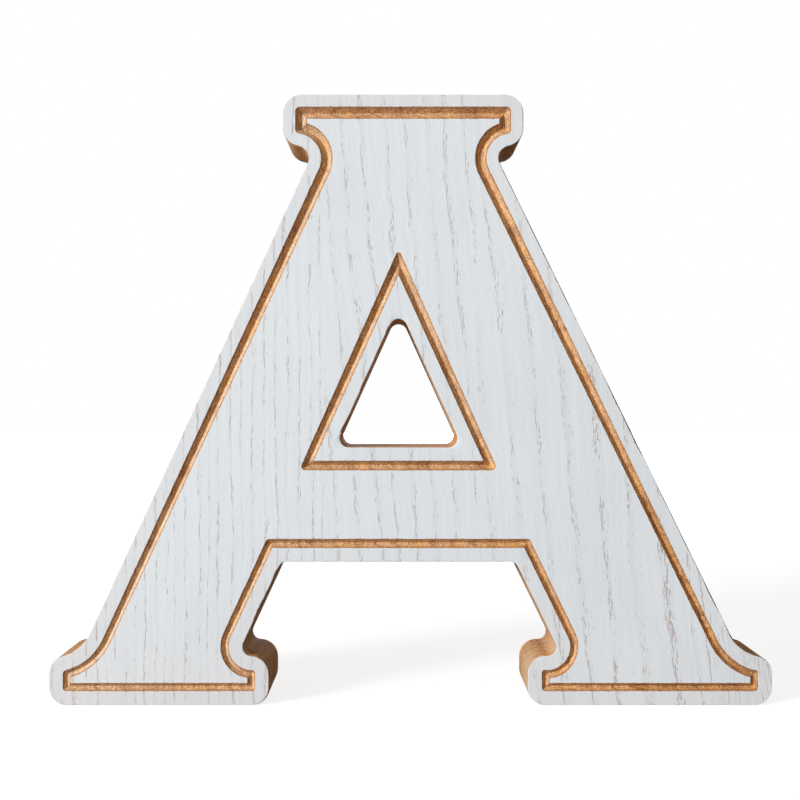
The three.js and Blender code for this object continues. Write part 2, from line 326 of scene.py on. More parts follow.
class Shell:
    """A mesh built up from rings of points, each a row of places in the upright plane at a depth.

    Each point has a mark from 0 to 1, which the mesh keeps under a name for its material.
    """

    def __init__(self, name):
        self.name = name
        self.points, self.marks, self.faces = [], [], []
        self.size = 0

    def ring(self, flat, depth, mark=0.0):
        """Puts in a ring of points and gives back the numbers of its vertices."""
        count = len(flat)
        self.points.append(np.column_stack([flat[:, 0], np.broadcast_to(depth, count), flat[:, 1]]))
        self.marks.append(np.broadcast_to(mark, count))
        self.size += count
        return np.arange(self.size - count, self.size)

    def join(self, rings):
        """Faces between neighbouring rings: each joins a vertex and the next to the same two of the other."""
        for one, two in zip(rings, rings[1:]):
            self.faces += np.stack([one, np.roll(one, -1), np.roll(two, -1), two], axis=1).tolist()

    def fill(self, outer, hole=None):
        """A flat sheet from an outer ring to a hole's: the triangles of both, less those in the hole."""
        numbers = outer if hole is None else np.concatenate([outer, hole])
        flat = np.concatenate(self.points)[numbers][:, [0, 2]]
        ends = [np.arange(len(outer))] + ([] if hole is None else [np.arange(len(outer), len(numbers))])
        edges = np.concatenate([np.stack([part, np.roll(part, -1)], axis=1) for part in ends])
        found = delaunay_2d_cdt([Vector(p) for p in flat], edges.tolist(), [], 1, TOUCH / 100)
        origin = np.array([numbers[group[0]] for group in found[3]])
        corners = origin[np.array(found[2])]
        if hole is not None:
            middle = np.concatenate(self.points)[corners][:, :, [0, 2]].mean(axis=1)
            corners = corners[~inside(middle, flat[len(outer):])]
        self.faces += corners.tolist()

    def body(self):
        """The closed body: its doubled vertices merged and its faces turned outward."""
        mesh = bpy.data.meshes.new("body")
        mesh.from_pydata(np.concatenate(self.points).tolist(), [], self.faces)
        mark = mesh.attributes.new(self.name, "FLOAT", "POINT")
        mark.data.foreach_set("value", np.concatenate(self.marks).astype(np.float32))
        body = bmesh.new()
        body.from_mesh(mesh)
        bpy.data.meshes.remove(mesh)
        bmesh.ops.remove_doubles(body, verts=body.verts[:], dist=TOUCH)
        bmesh.ops.dissolve_degenerate(body, edges=body.edges[:], dist=TOUCH / 10)
        bmesh.ops.recalc_face_normals(body, faces=body.faces[:])
        return body


def inside(places, polygon):
    """Which places lie in a polygon: those where a level line crosses its sides an odd number of times."""
    a, b = polygon, np.roll(polygon, -1, axis=0)
    x, z = places[:, :1], places[:, 1:]
    spans = (a[:, 1] > z) != (b[:, 1] > z)
    rise = np.where(spans, b[:, 1] - a[:, 1], 1.0)
    crossing = a[:, 0] + (z - a[:, 1]) * (b[:, 0] - a[:, 0]) / rise
    return (spans & (x < crossing)).sum(axis=1) % 2 == 1


SMOOTH_ANGLE = np.radians(35)


def piece(name, body, node, material):
    """Puts a body into the scene as a piece that stands for one CAD node."""
    bmesh.ops.triangulate(body, faces=[f for f in body.faces if len(f.verts) > 4])
    mesh = bpy.data.meshes.new(name)
    body.to_mesh(mesh)
    body.free()
    mesh.shade_smooth()
    mesh.set_sharp_from_angle(angle=SMOOTH_ANGLE)
    mesh.materials.append(material)
    made = bpy.data.objects.new(name, mesh)
    bpy.context.scene.collection.objects.link(made)
    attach(made, "root")
    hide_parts(node)
    return made


# The wood

letter = Outline(letter_corners())
counter = Outline(counter_corners())
ARRIS_TURN = np.linspace(0, np.pi / 2, 5)
SIDE_ROWS = 4


def wood_rows(shell, outline, sense):
    """The wood's section carried along an outline, from the field across the groove and the edge to the back.

    Sense is 1 where the edge lies outward of the line, and -1 where it lies inward, as round the counter. The
    groove is two sloping walls and a flat tip, and each edge is a quarter round from the face to the side.
    The walls and the sides that face left, towards the lamp, carry a mark for a painted highlight that pales
    them.
    """
    facing = sense * outline.normals(sense)[:, 0]
    leftward, rightward = np.maximum(-facing, 0), np.maximum(facing, 0)
    wall = PAINT_FILM * WALL_SLOPE
    bottom = groove_bottom(outline.height)
    tip = GROOVE_TIP / 2
    across = [
        (lambda z: -sense * (half_groove(z) - wall), WOOD_FACE),
        (level(-sense * tip), bottom),
        (level(sense * tip), bottom),
        (lambda z: sense * (half_groove(z) - wall), WOOD_FACE),
    ]
    front = [
        (level(sense * (BORDER - ARRIS + ARRIS * np.sin(t))), WOOD_FACE + ARRIS * (1 - np.cos(t)))
        for t in ARRIS_TURN
    ]
    back = [(distance, WOOD_FACE + BACK - depth) for distance, depth in reversed(front)]
    side = [(level(sense * BORDER), y) for y in np.linspace(front[-1][1], back[0][1], SIDE_ROWS)[1:-1]]
    # a mark for a painted highlight: how much each wall and side faces left, towards the lamp
    facing_lamp = [leftward, leftward, rightward, rightward] + [leftward] * len(front + side + back[1:]) + [0.0]
    section = across + front + side + back
    rows = [shell.ring(outline.parallel(distance), y, mark) for (distance, y), mark in zip(section, facing_lamp)]
    shell.join(rows)
    return rows


def carved_body():
    """The whole letter in wood, under the paint, with both grooves and the counter cut."""
    shell = Shell("facing_lamp")
    edge = wood_rows(shell, letter, 1)
    hole = wood_rows(shell, counter, -1)
    shell.fill(edge[0], hole[0])
    shell.fill(edge[-1], hole[-1])
    return shell.body()


def stave(body, left, right):
    """A copy of the carved body between two upright seams, with flat caps where it is cut."""
    cut = body.copy()
    for seam, way in ((left, -1), (right, 1)):
        if seam is None:
            continue
        everything = cut.verts[:] + cut.edges[:] + cut.faces[:]
        bmesh.ops.bisect_plane(
            cut,
            geom=everything,
            dist=TOUCH / 10,
            plane_co=(seam, 0, 0),
            plane_no=(way, 0, 0),
            clear_outer=True,
        )
        rim = [edge for edge in cut.edges if edge.is_boundary]
        bmesh.ops.triangle_fill(cut, use_beauty=True, edges=rim)
    bmesh.ops.recalc_face_normals(cut, faces=cut.faces[:])
    return cut


# The finishes


def colour(red, green, blue):
    """A colour as a screen shows it, from 0 to 255, in the linear values that a shader takes."""
    screen = np.array([red, green, blue]) / 255
    linear = np.where(screen <= 0.04045, screen / 12.92, ((screen + 0.055) / 1.055) ** 2.4)
    return (*linear.tolist(), 1.0)


class Finish:
    """A node material in the making. A value is a number, a colour or the output of another node."""

    def __init__(self, name):
        self.material = bpy.data.materials.new(name)
        self.material.use_nodes = True
        self.tree = self.material.node_tree
        self.shader = self.tree.nodes["Principled BSDF"]

    def put(self, socket, value):
        """Sets a socket to a constant, or links it to another node's output."""
        if isinstance(value, bpy.types.NodeSocket):
            self.tree.links.new(value, socket)
        else:
            socket.default_value = value

    def node(self, kind, inputs, **settings):
        """A node with its settings and, by name or number, its inputs."""
        made = self.tree.nodes.new(kind)
        for key, value in settings.items():
            setattr(made, key, value)
        for key, value in inputs.items():
            self.put(made.inputs[key], value)
        return made

    def math(self, operation, *values, clamp=False):
        """The result of a plain operation on one, two or three values."""
        made = self.node("ShaderNodeMath", dict(enumerate(values)), operation=operation, use_clamp=clamp)
        return made.outputs[0]

    def total(self, first, *others):
        """The sum of several values."""
        for value in others:
            first = self.math("ADD", first, value)
        return first

    def product(self, first, *others):
        """Several values multiplied."""
        for value in others:
            first = self.math("MULTIPLY", first, value)
        return first

    def mapped(self, value, low, high, to_low=0.0, to_high=1.0):
        """A value moved smoothly from one span to another, and held at its ends."""
        inputs = {"Value": value, "From Min": low, "From Max": high, "To Min": to_low, "To Max": to_high}
        return self.node("ShaderNodeMapRange", inputs, interpolation_type="SMOOTHSTEP").outputs["Result"]

    def cells(self, x, y, z, across, through, up):
        """A place in cells of a size in each direction."""
        inputs = {
            "X": self.math("DIVIDE", x, across),
            "Y": self.math("DIVIDE", y, through),
            "Z": self.math("DIVIDE", z, up),
        }
        return self.node("ShaderNodeCombineXYZ", inputs).outputs["Vector"]

    def noise(self, place, detail=2.0, rough=0.5):
        """Soft noise from 0 to 1, with one lump to a cell or so."""
        inputs = {"Vector": place, "Scale": 1.0, "Detail": detail, "Roughness": rough}
        return self.node("ShaderNodeTexNoise", inputs).outputs["Fac"]

    def mark(self, name):
        """The mark that a mesh keeps for its points under a name."""
        return self.node("ShaderNodeAttribute", {}, attribute_name=name).outputs["Fac"]

    def mix(self, share, one, two, blend="MIX"):
        """Two colours mixed by a share."""
        made = self.node("ShaderNodeMix", {0: share}, data_type="RGBA", blend_type=blend)
        self.put(made.inputs[6], one)
        self.put(made.inputs[7], two)
        return made.outputs[2]

    def tinted(self, shade, tint, *values):
        """A shade with some of a tint, a colour and its greatest share, times the values."""
        added, share = tint
        return self.mix(self.product(share, *values), shade, added)

    def ramp(self, value, stops, interpolation="LINEAR"):
        """A colour that follows a value through stops, each a place from 0 to 1 and its colour."""
        made = self.node("ShaderNodeValToRGB", {"Fac": value})
        made.color_ramp.interpolation = interpolation
        elements = made.color_ramp.elements
        for i, (place, shade) in enumerate(stops):
            element = elements[i] if i < 2 else elements.new(place)
            element.position = place
            element.color = shade
        return made.outputs["Color"]

    def steps(self, value, rows):
        """One row of two or three numbers for each equal step of a value from 0 to 1, without blending."""
        stops = [(i / len(rows), (*row, 0.0)[:3] + (1.0,)) for i, row in enumerate(rows)]
        parts = self.node("ShaderNodeSeparateColor", {"Color": self.ramp(value, stops, "CONSTANT")})
        return [parts.outputs[i] for i in range(len(rows[0]))]

    def done(self, shade, roughness, shine, height, relief):
        """The material, with its colour, roughness, shine and relief, which has a strength and a depth."""
        strength, depth = relief
        bump = self.node("ShaderNodeBump", {"Strength": strength, "Distance": depth, "Height": height})
        self.put(self.shader.inputs["Base Color"], shade)
        self.put(self.shader.inputs["Roughness"], roughness)
        self.put(self.shader.inputs["Specular IOR Level"], shine)
        self.put(self.shader.inputs["Normal"], bump.outputs["Normal"])
        return self.material


# The grain, with a row for each stave from left to right

# Lean of the grain, and rings for each millimetre across and through the panel
GRAIN_RUN = [
    (0.0, 0.30, 0.20),
    (0.01, 0.27, 0.22),
    (0.085, 0.15, 0.20),
    (0.10, 0.11, 0.17),
    (0.11, 0.10, 0.25),
]
# Where the rings start, how open the pores are, and how the rings crowd towards the right
GRAIN_RINGS = [
    (0.10, 0.95, 0.0),
    (0.55, 0.95, 0.0),
    (0.30, 0.85, 0.0),
    (0.80, 0.62, 0.0),
    (0.20, 0.95, 0.025),
]
# How much of a ring has open pores, and how strongly they show through the paint
GRAIN_BAND = [
    (0.30, 0.33),
    (0.30, 0.32),
    (0.30, 0.28),
    (0.34, 0.46),
    (0.36, 0.50),
]
# How pale, how orange and how dark the bare wood is
WOOD_TONE = [
    (0.46, 0.0, 0.0),
    (0.32, 0.08, 0.0),
    (0.28, 0.10, 0.0),
    (0.16, 0.12, 0.0),
    (0.06, 0.10, 0.20),
]
STAVES = len(GRAIN_RUN)
FIRST_SEAM = COUNTER_SHIFT - 1.5 * STAVE_WIDTH

# Widths across the grain and lengths along it, in millimetres
BEND = 26.0, 80.0
RIPPLE = 9.0, 11.0
SPREAD = 6.5, 150.0            # of the uneven spaces between the rings
PATCH = 1.6, 9.0               # of the stretches where a ring's pores are open
BREAK = 0.5, 1.9               # of the breaks in a row of pores
PORE = 0.36, 3.2
FLECK = 0.32, 1.8
FIBRE = 0.24, 5.0
STREAK = 1.3, 45.0
BRUSH_MARK = 0.9, 34.0

# How far the rings swing, in millimetres
BEND_SWING = 5.0
RIPPLE_SWING = 2.2
SPREAD_SWING = 4.0

# The rings and their pores
RING_SHUFFLE = 40.0            # rings between a start of 0 and a start of 1
CROWD_START = 21.0             # how far from a stave's left edge its rings begin to crowd, in millimetres
RING_FULL = 0.03               # share of a ring up to which its pores are widest
RING_NEXT = 0.96               # and from which the next ring's begin
RING_LUCK = 0.9, 0.45          # what chance adds to a ring's pores, and what each has
PATCH_SPAN = 0.40, 0.58, 0.0, 1.2
FOOT_WEAR = 0.0, 14.0, 0.4, 0.0  # heights, in millimetres, and how much wider the pores are open there
BREAK_SPAN = 0.38, 0.56
PORE_OPENING = 0.58, 0.17      # what a ring adds to the size of a pore, in cells, and what each has
PORE_EDGE = 5.0                # how sharply a pore begins
GLUE_LINE = 0.12, 0.04         # half its width where it starts to show and where it is full, in millimetres


class Grain:
    """Solid ring-porous wood in the round: rings, pores and fibres of upright staves, each with its own run.

    In each stave the growth rings are leaning planes, wandering a little. Pores are slim upright cells that
    open most where a ring begins, and fibres are fine noise drawn out along the grain.
    """

    def __init__(self, finish):
        self.finish = finish
        place = finish.node("ShaderNodeTexCoord", {}).outputs["Object"]
        split = finish.node("ShaderNodeSeparateXYZ", {0: place})
        self.x, self.y, self.z = (finish.product(split.outputs[i], 1 / MM) for i in range(3))
        self.under = finish.math("SUBTRACT", self.y, WOOD_FACE / MM)
        width = STAVE_WIDTH / MM
        number = finish.math("DIVIDE", finish.math("SUBTRACT", self.x, FIRST_SEAM / MM - width), width)
        share = finish.math("DIVIDE", number, STAVES, clamp=True)
        lean, rings_across, rings_through = finish.steps(share, GRAIN_RUN)
        start, openness, crowd = finish.steps(share, GRAIN_RINGS)
        band, self.show = finish.steps(share, GRAIN_BAND)
        self.pale, self.orange, self.dark = finish.steps(share, WOOD_TONE)

        self.leaned = self.x
        bend = self.swing(BEND, BEND_SWING)
        ripple = self.swing(RIPPLE, RIPPLE_SWING)
        upright = finish.product(lean, self.z)
        self.leaned = finish.total(self.x, upright)
        spread = self.swing(SPREAD, SPREAD_SWING)
        shift = finish.total(upright, spread, bend, ripple)
        self.leaned = finish.total(self.x, shift)

        in_stave = finish.math("FRACT", number)
        from_edge = finish.math("MULTIPLY_ADD", in_stave, width, shift)
        beyond = finish.math("MAXIMUM", finish.math("SUBTRACT", from_edge, CROWD_START), 0.0)
        ring = finish.total(
            finish.product(self.leaned, rings_across),
            finish.product(self.y, rings_through),
            finish.product(start, RING_SHUFFLE),
            finish.product(beyond, beyond, crowd),
        )
        phase = finish.math("FRACT", ring)
        closing = finish.mapped(phase, RING_FULL, band, 1.0, 0.0)
        self.early = finish.total(closing, finish.mapped(phase, RING_NEXT, 1.0))
        chance = {"W": finish.math("FLOOR", ring)}
        luck = finish.node("ShaderNodeTexWhiteNoise", chance, noise_dimensions="1D").outputs["Value"]
        strength = finish.math("MULTIPLY_ADD", luck, *RING_LUCK)

        patches = finish.mapped(finish.noise(self.along(PATCH)), *PATCH_SPAN)
        worn = finish.total(openness, finish.product(beyond, crowd), finish.mapped(self.z, *FOOT_WEAR))
        reach = finish.product(self.early, strength, patches, worn)
        broken = finish.mapped(finish.noise(self.along(BREAK), detail=3.0, rough=0.6), *BREAK_SPAN)
        self.pore = finish.product(self.pores(finish.math("MULTIPLY_ADD", reach, *PORE_OPENING)), broken)
        self.fleck = finish.noise(self.along(FLECK), detail=1.0)
        self.fibre = finish.noise(self.along(FIBRE), detail=3.0, rough=0.65)
        self.streak = finish.noise(self.along(STREAK), rough=0.6)
        off_middle = finish.math("ABSOLUTE", finish.math("SUBTRACT", in_stave, 0.5))
        self.glue = finish.mapped(off_middle, *(0.5 - half / width for half in GLUE_LINE))

    def along(self, size):
        """The place in cells of a width across the grain and a length along it, in millimetres."""
        across, length = size
        return self.finish.cells(self.leaned, self.y, self.z, across, across, length)

    def on_face(self, size):
        """The place in cells of a width and a height, in millimetres, the same right through the panel."""
        across, height = size
        return self.finish.cells(self.x, 0.0, self.z, across, 1.0, height)

    def swing(self, size, reach):
        """How far the rings are shifted, in millimetres: noise of a size, about zero, times a reach."""
        finish = self.finish
        return finish.product(finish.math("SUBTRACT", finish.noise(self.along(size)), 0.5), reach)

    def pores(self, opening):
        """How deep in a pore each place is, from 0 to 1: how far within the opening round a cell's middle."""
        finish = self.finish
        cell = finish.node("ShaderNodeTexVoronoi", {"Vector": self.along(PORE), "Scale": 1.0}, feature="F1")
        within = finish.math("SUBTRACT", opening, cell.outputs["Distance"])
        return finish.math("MULTIPLY", within, PORE_EDGE, clamp=True)


# Bare wood: its shades, and its tints with the greatest share of each
WOOD_SHADES = [(0.44, colour(121, 75, 38)), (0.53, colour(203, 150, 96)), (0.62, colour(240, 196, 141))]
FIBRE_SHARE = 0.4
FLECK_SHARE = 0.45
STREAK_SHARE = 0.25
RING_TINT = colour(160, 108, 64), 0.45
PORE_TINT = colour(96, 58, 30), 0.7
# pale tint in the groove: paint dust all over it, and a painted highlight on its walls that face the lamp on
# the left
GROOVE_DUST_AND_HIGHLIGHT = colour(240, 224, 202), 1.0
GROOVE_ORANGE = colour(216, 146, 82), 1.0
SIDE_TINT = colour(160, 92, 44), 0.2
# painted highlight on the sides that face left, towards the lamp, fading towards the back
SIDE_HIGHLIGHT = colour(216, 190, 160), 1.0
DARK_TINT = colour(140, 94, 58), 1.0
GOLD_TINT = colour(232, 176, 92), 0.35
BURN_TINT = colour(132, 68, 30), 0.32
GLUE_TINT = colour(90, 56, 30), 0.25
TOAST = colour(190, 128, 78)

# Where they lie, in millimetres under the paint, and how much of them is there
GROOVE_SPAN = 2.0, 3.0, 1.0, 0.0
SIDE_HIGHLIGHT_SPAN = 2.7, 27.7, 0.75, 0.15
TOAST_SPAN = 0.0, 0.45, 0.38, 0.0
GROOVE_DUST_AND_HIGHLIGHT_SHARES = 0.85, 0.6      # painted highlight where the groove faces left, towards the lamp, and dust everywhere in it
GOLD_SIZE = 6.0, 6.0
GOLD_SPAN = 0.50, 0.68
BURN_SIZE = 9.0, 9.0
BURN_SPAN = 0.52, 0.70
GRIT = 0.45
GRIT_SPAN = 0.3, 0.7, 0.1, 0.9
GRIT_SHARE = 0.4
WOOD_ROUGHNESS = 0.25, 0.65    # what the fibres add, and the least
WOOD_SHINE = 0.02
PORE_SINK = -0.7
FIBRE_RISE = 0.5
WOOD_RELIEF = 0.7, 0.15 * MM


def bare_wood():
    """Raw ring-porous wood: tan between the rings, browner where they begin, with dark pores.

    The groove is toasted along its brow, burnt in places and gritty. Paint dust pales it all over, and a
    painted highlight pales it more where it faces left, towards the lamp; the sides that face left get a
    painted highlight too, less towards the back.
    """
    finish = Finish("bare_wood")
    g = Grain(finish)
    body = finish.total(
        finish.product(g.fibre, FIBRE_SHARE),
        finish.product(g.fleck, FLECK_SHARE),
        finish.product(g.streak, STREAK_SHARE),
    )
    shade = finish.ramp(body, WOOD_SHADES)
    shade = finish.tinted(shade, RING_TINT, g.early)
    shade = finish.tinted(shade, PORE_TINT, g.pore)

    groove = finish.mapped(g.under, *GROOVE_SPAN)
    side = finish.math("SUBTRACT", 1.0, groove)
    facing_lamp = finish.mark("facing_lamp")
    # paint dust pales the whole groove, and a painted highlight pales more its walls that face left, towards
    # the lamp
    dust_and_highlight = finish.math("MULTIPLY", g.pale, finish.math("MULTIPLY_ADD", facing_lamp, *GROOVE_DUST_AND_HIGHLIGHT_SHARES), clamp=True)
    shade = finish.tinted(shade, GROOVE_DUST_AND_HIGHLIGHT, dust_and_highlight, groove)
    shade = finish.tinted(shade, GROOVE_ORANGE, g.orange, groove)
    shade = finish.tinted(shade, SIDE_TINT, side)
    # painted highlight: the sides that face left, towards the lamp, are paler, less towards the back
    shade = finish.tinted(shade, SIDE_HIGHLIGHT, facing_lamp, side, finish.mapped(g.under, *SIDE_HIGHLIGHT_SPAN))
    shade = finish.tinted(shade, DARK_TINT, g.dark)
    gold = finish.mapped(finish.noise(g.on_face(GOLD_SIZE), detail=3.0), *GOLD_SPAN)
    shade = finish.tinted(shade, GOLD_TINT, gold, groove)
    shade = finish.mix(finish.mapped(g.under, *TOAST_SPAN), shade, TOAST, "MULTIPLY")
    burn = finish.mapped(finish.noise(g.on_face(BURN_SIZE), detail=3.0), *BURN_SPAN)
    shade = finish.tinted(shade, BURN_TINT, burn, groove)
    grit = finish.mapped(finish.noise(finish.cells(g.x, g.y, g.z, GRIT, GRIT, GRIT)), *GRIT_SPAN)
    shade = finish.mix(finish.product(groove, GRIT_SHARE), shade, grit, "OVERLAY")
    shade = finish.tinted(shade, GLUE_TINT, g.glue)

    roughness = finish.math("MULTIPLY_ADD", g.fibre, *WOOD_ROUGHNESS)
    height = finish.total(finish.product(g.pore, PORE_SINK), finish.product(g.fibre, FIBRE_RISE))
    return finish.done(shade, roughness, WOOD_SHINE, height, WOOD_RELIEF)


# Paint: its shades, the tint where a ring begins, the dashes over pores, and the wood at its edges
PAINT_SHADES = [(0.34, colour(224, 231, 237)), (0.66, colour(232, 239, 245))]
BRUSH_SHARE = 0.6
CLOUD_SHARE = 0.4
CLOUD = 45.0, 60.0
BAND_TINT = colour(206, 204, 202), 0.14
PAINT_DARKENING = colour(249, 243, 241)
FIELD_DARKENING = 0.0, 0.3, 0.0    # how much darker it is everywhere, more at the base and more along the top
BORDER_DARKENING = 0.22, 0.45, 0.3
DARKENING_BASE = 0.0, 50.0         # heights between which it goes and comes, in millimetres
DARKENING_TOP = 184.0, 196.0
DARKENING_SIDE = -118.0, 118.0, 1.4, 0.6  # more to the left than to the right
DASH_PALE = colour(200, 174, 162)
DASH_DARK = colour(142, 106, 88)
DASH_SPAN = 0.45, 0.65
BARE_DARK = colour(150, 102, 64)
BARE_PALE = colour(206, 162, 116)
BARE_SPAN = 0.4, 0.65
RIM_SPAN = 0.5, 0.9
PAINT_ROUGHNESS = 0.2, 0.45    # what the brush marks add, and the least
PAINT_SHINE = 0.3
DASH_SINK = -1.0
BRUSH_RISE = 0.15
PAINT_RELIEF = 0.6, 0.22 * MM


def face_paint(name, darkening):
    """Pale cool grey paint over open grain: pores show as brown dashes, and its cut edge is wood-coloured."""
    finish = Finish(name)
    g = Grain(finish)
    brushed = finish.noise(g.along(BRUSH_MARK), detail=3.0, rough=0.55)
    cloud = finish.noise(g.on_face(CLOUD))
    body = finish.total(finish.product(brushed, BRUSH_SHARE), finish.product(cloud, CLOUD_SHARE))
    shade = finish.ramp(body, PAINT_SHADES)
    shade = finish.tinted(shade, BAND_TINT, g.early)
    # the paint is made a little darker and warmer towards the base, along the top and on the border, more on
    # the left
    even, at_base, at_top = darkening
    low = finish.mapped(g.z, *DARKENING_BASE, at_base, 0.0)
    high = finish.mapped(g.z, *DARKENING_TOP, 0.0, at_top)
    darkened_share = finish.product(finish.total(low, high, even), finish.mapped(g.x, *DARKENING_SIDE))
    shade = finish.mix(darkened_share, shade, PAINT_DARKENING, "MULTIPLY")
    dash = finish.mix(finish.mapped(g.streak, *DASH_SPAN), DASH_PALE, DASH_DARK)
    shade = finish.mix(finish.product(g.pore, g.show), shade, dash)
    bare = finish.mix(finish.mapped(g.fibre, *BARE_SPAN), BARE_DARK, BARE_PALE)
    shade = finish.mix(finish.mapped(finish.mark("rim"), *RIM_SPAN), shade, bare)

    roughness = finish.math("MULTIPLY_ADD", brushed, *PAINT_ROUGHNESS)
    height = finish.total(finish.product(g.pore, DASH_SINK), finish.product(brushed, BRUSH_RISE))
    return finish.done(shade, roughness, PAINT_SHINE, height, PAINT_RELIEF)


WOOD = bare_wood()
PAINT = face_paint("face_paint", FIELD_DARKENING)
BORDER_PAINT = face_paint("border_paint", BORDER_DARKENING)

carved = carved_body()
STAVE_NAMES = ["left_2", "left_1", "middle", "right_1", "right_2"]
seams = [None] + [FIRST_SEAM + STAVE_WIDTH * i for i in range(STAVES - 1)] + [None]
for name, left_seam, right_seam in zip(STAVE_NAMES, seams, seams[1:]):
    piece(f"wood_{name}", stave(carved, left_seam, right_seam), f"stave_{name}", WOOD)
carved.free()


# The paint

RIM_WIDTH = 0.5 * MM           # how far in from its edge the paint is thin
FILM_ROUND = 0.06 * MM         # rounding of the film's top edges
LONG_RAG = 0.03 * MM           # raggedness of an edge along the grain
CROSS_RAG = 0.14 * MM          # and of one across it
TEAR_WAVES = 6 * MM, 1.1 * MM  # longest and shortest waves of that
EDGE_COVER = 0.06 * MM         # bare wood that shows outside the paint
EDGE_WEAR = 0.08 * MM          # unevenness of that
WEAR_WAVES = 60 * MM, 2 * MM
SHADED_EDGE_BARING = 0.22 * MM           # more bare wood along the edges that face right, away from the lamp: painted shade on them
SHADED_EDGE_LEFT_SHARE = 0.3                 # share of that along the edges that face left
SHADED_EDGE_WAVES = 90 * MM, 15 * MM
SHADED_EDGE_MEAN = 0.7
SHADED_EDGE_RANGE = 0.1, 1.6
SHADED_EDGE_SEED = 40                  # sets its random line apart from the wear's

# Seeds of each film's random edges
BORDER_SEED = 11
BAND_SEED = 21
FIELD_SEED = 31


def ragged(outline, sense, seed):
    """How far and where to the paint's edge is torn at each station: more across the grain than along it."""
    normal = outline.normals(sense)
    tear = np.abs(outline.wander(seed, *TEAR_WAVES))
    reach = tear * (LONG_RAG + (CROSS_RAG - LONG_RAG) * np.abs(normal[:, 1]))
    return sense * reach[:, None] * normal


def groove_edge(shell, outline, sense, seed):
    """The film's edge on one side of the groove, outward with sense 1, from under it to the flat."""
    tear = ragged(outline, sense, seed)
    wall = PAINT_FILM * WALL_SLOPE
    low = outline.parallel(lambda z: sense * (half_groove(z) - wall))
    brow = outline.parallel(lambda z: sense * half_groove(z))
    top = outline.parallel(lambda z: sense * (half_groove(z) + FILM_ROUND))
    flat = outline.parallel(lambda z: sense * (half_groove(z) + RIM_WIDTH))
    return [
        shell.ring(low + tear, WOOD_FACE, 1.0),
        shell.ring(brow + tear, FACE + FILM_ROUND, 1.0),
        shell.ring(top + tear, FACE, 0.3),
        shell.ring(flat, FACE, 0.0),
    ]


def outer_edge(shell, outline, sense, seed):
    """The film's edge along the arris of the wood, from the flat over and down to the wood."""
    normal = outline.normals(sense)
    facing = sense * normal[:, 0]
    # The paint is set back from the arris by uneven wear all round, and by more where the edge faces right,
    # away from the lamp, so that bare wood paints the shade on those edges.
    uneven = np.clip(SHADED_EDGE_MEAN + outline.wander(seed + SHADED_EDGE_SEED, *SHADED_EDGE_WAVES), *SHADED_EDGE_RANGE)
    worn_and_shaded = SHADED_EDGE_BARING * uneven * np.maximum(facing, -SHADED_EDGE_LEFT_SHARE * facing)
    worn_and_shaded += EDGE_WEAR * np.abs(outline.wander(seed, *WEAR_WAVES))
    wear = -sense * worn_and_shaded[:, None] * normal
    cover = BORDER - EDGE_COVER
    over = np.maximum(cover - worn_and_shaded * np.linalg.norm(normal, axis=1) - (BORDER - ARRIS), 0)
    seat = WOOD_FACE + ARRIS - np.sqrt(ARRIS ** 2 - over ** 2)
    return [
        shell.ring(outline.parallel(level(sense * (cover - RIM_WIDTH - 2 * SHADED_EDGE_BARING))), FACE, 0.0),
        shell.ring(outline.parallel(level(sense * (cover - 2 * FILM_ROUND))) + wear, FACE, 0.3),
        shell.ring(outline.parallel(level(sense * cover)) + wear, FACE + 2 * FILM_ROUND, 0.5),
        shell.ring(outline.parallel(level(sense * cover)) + wear, seat, 0.7),
    ]


def painted_band(outline, sense, seed):
    """The ring of film between a groove and the edge: its closed section carried round the outline."""
    shell = Shell("rim")
    rows = groove_edge(shell, outline, sense, seed) + outer_edge(shell, outline, sense, seed + 1)
    shell.join(rows + rows[:1])
    return shell.body()


def painted_field():
    """The film between the two grooves: its two edges, closed above and below by flat sheets."""
    shell = Shell("rim")
    edge = groove_edge(shell, letter, -1, FIELD_SEED)
    hole = groove_edge(shell, counter, 1, FIELD_SEED + 1)
    shell.join(edge)
    shell.join(hole)
    shell.fill(edge[-1], hole[-1])
    shell.fill(edge[0], hole[0])
    return shell.body()


piece("coat_border", painted_band(letter, 1, BORDER_SEED), "paint_border", BORDER_PAINT)
piece("coat_field", painted_field(), "paint_field", PAINT)
piece("coat_counter_band", painted_band(counter, -1, BAND_SEED), "paint_counter_band", PAINT)


# The studio

FLOOR_SIZE = 6.0
FLOOR_GREY = 0.4, 0.4, 0.4, 1
FLOOR_DULL = 0.2, 0.15, 0.1, 1  # what the floor throws back onto the letter
FLOOR_ROUGHNESS = 0.9
FLOOR_GLOW = 0.82, 1.0         # white that the camera sees over the lit grey, near the letter and far away
FLOOR_FADE = 0.3, 0.9          # from where to where it changes, in metres from the letter's middle
AMBIENT = 0.335, 0.08          # even light from the front and from behind
AMBIENT_COLOUR = 1.0, 0.94, 0.88, 1
AMBIENT_SPAN = -0.3, 0.3       # over which it changes, as the depth of a unit direction
WHITE = 1, 1, 1, 1
LAMP_DISTANCE = 3.0
LAMP_SIZE = 0.8
KEY_WAY = -0.70, -0.62, 0.25
KEY_POWER = 96.0
REAR_WAY = 0.0, 1.0, 0.1
REAR_POWER = 26.0


def seen_directly(tree):
    """1 for what the camera sees, also by reflection or through glass, and 0 for light on surfaces."""
    path = tree.nodes.new("ShaderNodeLightPath")
    total = path.outputs["Is Camera Ray"]
    for name in ("Is Glossy Ray", "Is Transmission Ray"):
        either = tree.nodes.new("ShaderNodeMath")
        either.operation = "MAXIMUM"
        tree.links.new(total, either.inputs[0])
        tree.links.new(path.outputs[name], either.inputs[1])
        total = either.outputs[0]
    return total


